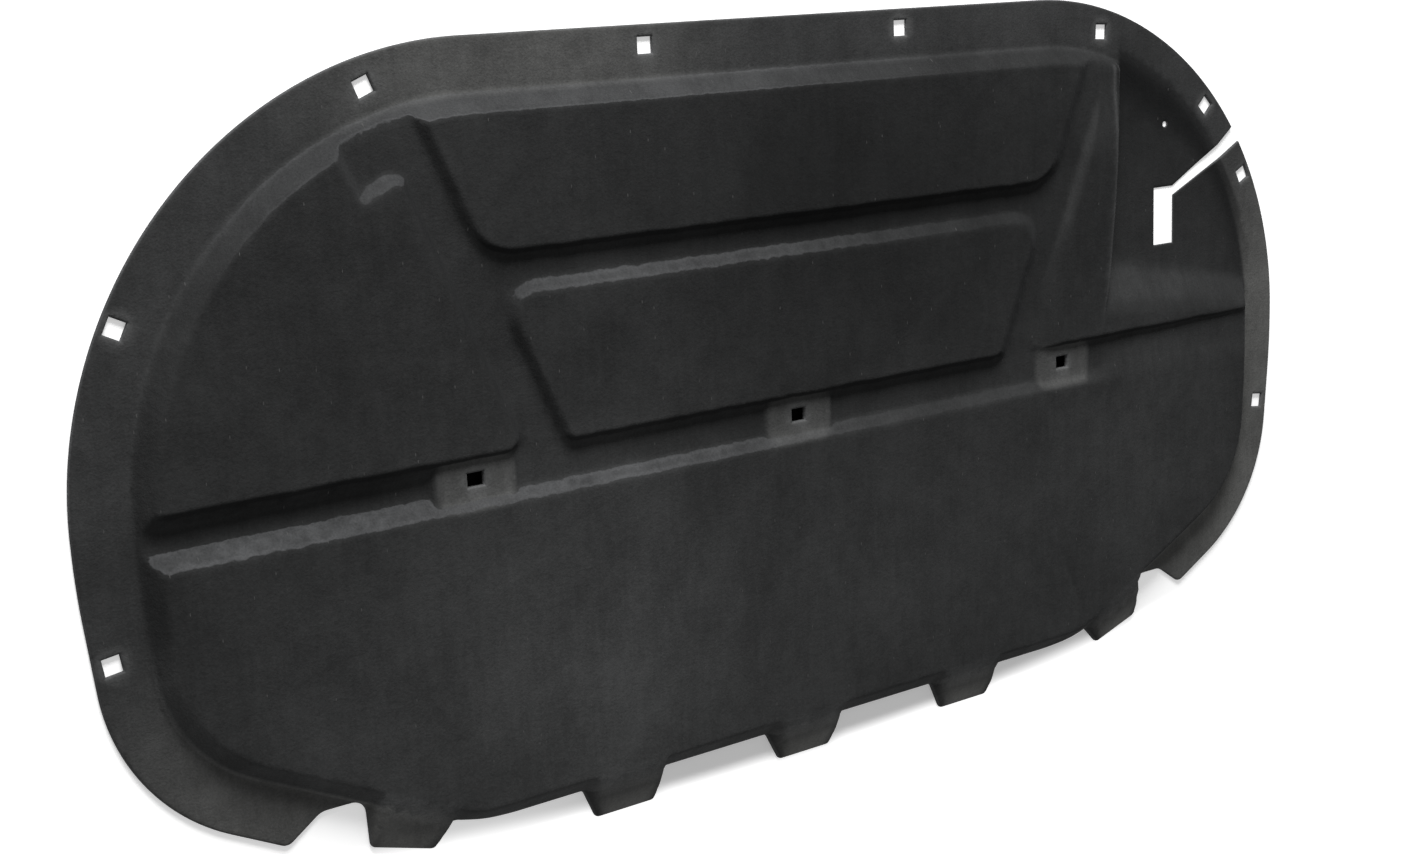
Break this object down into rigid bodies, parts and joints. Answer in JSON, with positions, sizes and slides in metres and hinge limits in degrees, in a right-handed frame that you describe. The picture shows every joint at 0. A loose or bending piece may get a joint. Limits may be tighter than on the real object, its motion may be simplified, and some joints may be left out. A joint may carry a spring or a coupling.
{
  "type": "hood insulation pad",
  "caption": "Moulded felt pad that lines the inside of a car's hood, with a flat clip rim, raised fields, channels, edge tabs and a slotted corner.",
  "frame": {"origin": "middle of the pad's box, on the plane that the rim's back lies on", "axes": "+X along the pad's longest side, across the car; +Y towards the windscreen; +Z out of the moulded face"},
  "size_m": [1.176, 0.6086, 0.018],
  "materials": {
    "felt": "black needled felt, heat pressed, matt with a fine nap and a few pale fibres"
  },
  "bodies": {
    "root": {"insulation_pad": "felt"}
  },
  "joints": []
}
